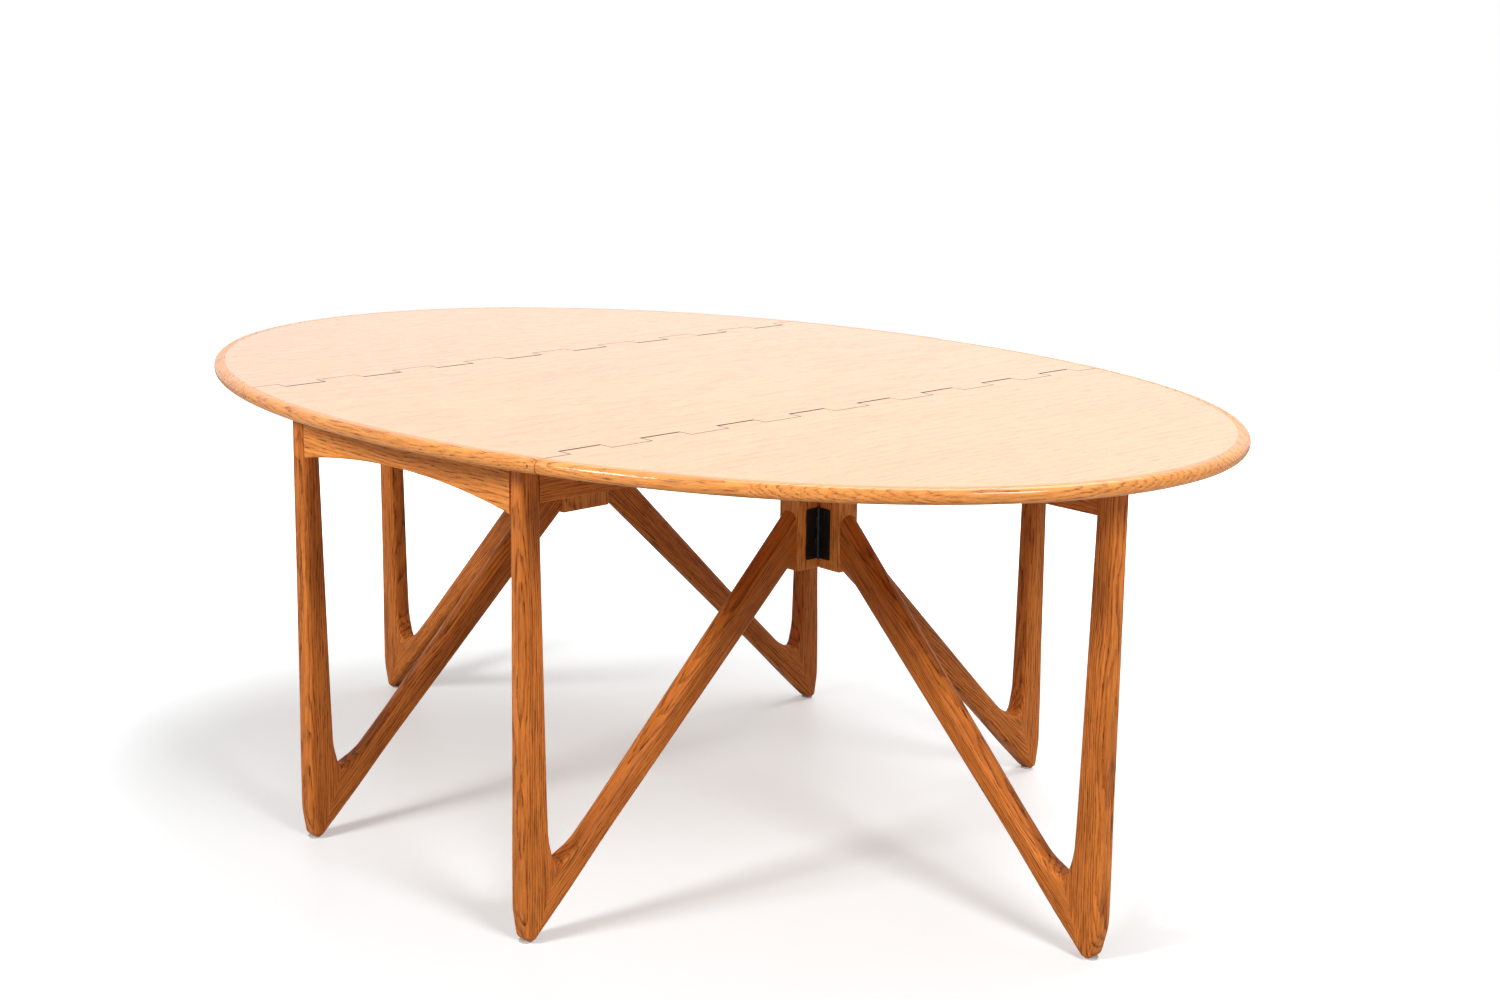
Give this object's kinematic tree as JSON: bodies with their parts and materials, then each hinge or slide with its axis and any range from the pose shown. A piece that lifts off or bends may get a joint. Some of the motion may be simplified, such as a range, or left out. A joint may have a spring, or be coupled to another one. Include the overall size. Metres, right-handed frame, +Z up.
{
  "type": "drop leaf table",
  "caption": "Oval gateleg dining table with finger-hinged drop leaves and V-shaped legs, two of which swing out under the leaves.",
  "frame": {"origin": "on the floor under the middle of the open top", "axes": "+X along the long axis of the open top towards the right leaf, +Y along the leaf hinges, +Z up"},
  "size_m": [1.95, 1.3002, 0.725],
  "materials": {
    "top_veneer": "lacquered oak veneer, straight grain along the hinges, satin",
    "edge_band": "solid oak band, oiled and lacquered, semi-gloss",
    "frame_oak": "solid oak, oiled, satin",
    "corner_wood": "plain sawn wood, unfinished",
    "rod_steel": "drawn steel rod",
    "black_steel": "black lacquered steel, satin",
    "screw_steel": "zinc-plated steel",
    "glide_plastic": "pale moulded nylon"
  },
  "bodies": {
    "base": {"centre_panel": "top_veneer", "centre_band_front": "edge_band", "centre_band_back": "edge_band", "right_hinge_rod": "rod_steel", "left_hinge_rod": "rod_steel", "front_apron": "frame_oak", "back_apron": "frame_oak", "fixed_glides": "glide_plastic", "top_screws": "screw_steel", "right_hub_block": "frame_oak", "right_front_post": "frame_oak", "right_back_post": "frame_oak", "right_front_strut": "frame_oak", "right_back_strut": "frame_oak", "right_front_half_rail": "frame_oak", "right_back_half_rail": "frame_oak", "right_front_corner_block": "corner_wood", "right_back_corner_block": "corner_wood", "right_fixed_hinge_plate": "black_steel", "right_fixed_hinge_screws": "black_steel", "right_hinge_pin": "black_steel", "left_hub_block": "frame_oak", "left_front_post": "frame_oak", "left_back_post": "frame_oak", "left_front_strut": "frame_oak", "left_back_strut": "frame_oak", "left_front_half_rail": "frame_oak", "left_back_half_rail": "frame_oak", "left_front_corner_block": "corner_wood", "left_back_corner_block": "corner_wood", "left_fixed_hinge_plate": "black_steel", "left_fixed_hinge_screws": "black_steel", "left_hinge_pin": "black_steel"},
    "right_leaf": {"right_leaf_panel": "top_veneer", "right_band_hinge_end": "edge_band", "right_band_tip": "edge_band", "right_band_long_end": "edge_band"},
    "right_gate": {"right_gate_block": "frame_oak", "right_gate_post": "frame_oak", "right_gate_strut": "frame_oak", "right_gate_rail": "frame_oak", "right_gate_glide": "glide_plastic", "right_gate_hinge_plate": "black_steel", "right_gate_hinge_screws": "black_steel"},
    "left_leaf": {"left_leaf_panel": "top_veneer", "left_band_hinge_end": "edge_band", "left_band_tip": "edge_band", "left_band_long_end": "edge_band"},
    "left_gate": {"left_gate_block": "frame_oak", "left_gate_post": "frame_oak", "left_gate_strut": "frame_oak", "left_gate_rail": "frame_oak", "left_gate_glide": "glide_plastic", "left_gate_hinge_plate": "black_steel", "left_gate_hinge_screws": "black_steel"}
  },
  "joints": [
    {"name": "right_gate_swing", "type": "hinge", "parent": "base", "child": "right_gate", "pos_m": [0.3015, -0.0025, 0.52], "axis": [0, 0, -1], "range_deg": [-2, 87]},
    {"name": "right_leaf_lift", "type": "hinge", "parent": "base", "child": "right_leaf", "pos_m": [0.355, 0, 0.714], "axis": [0, -1, 0], "range_deg": [0, 4]},
    {"name": "left_gate_swing", "type": "hinge", "parent": "base", "child": "left_gate", "pos_m": [-0.3015, 0.0025, 0.52], "axis": [0, 0, -1], "range_deg": [-2, 87]},
    {"name": "left_leaf_lift", "type": "hinge", "parent": "base", "child": "left_leaf", "pos_m": [-0.355, 0, 0.714], "axis": [0, 1, 0], "range_deg": [0, 4]}
  ]
}
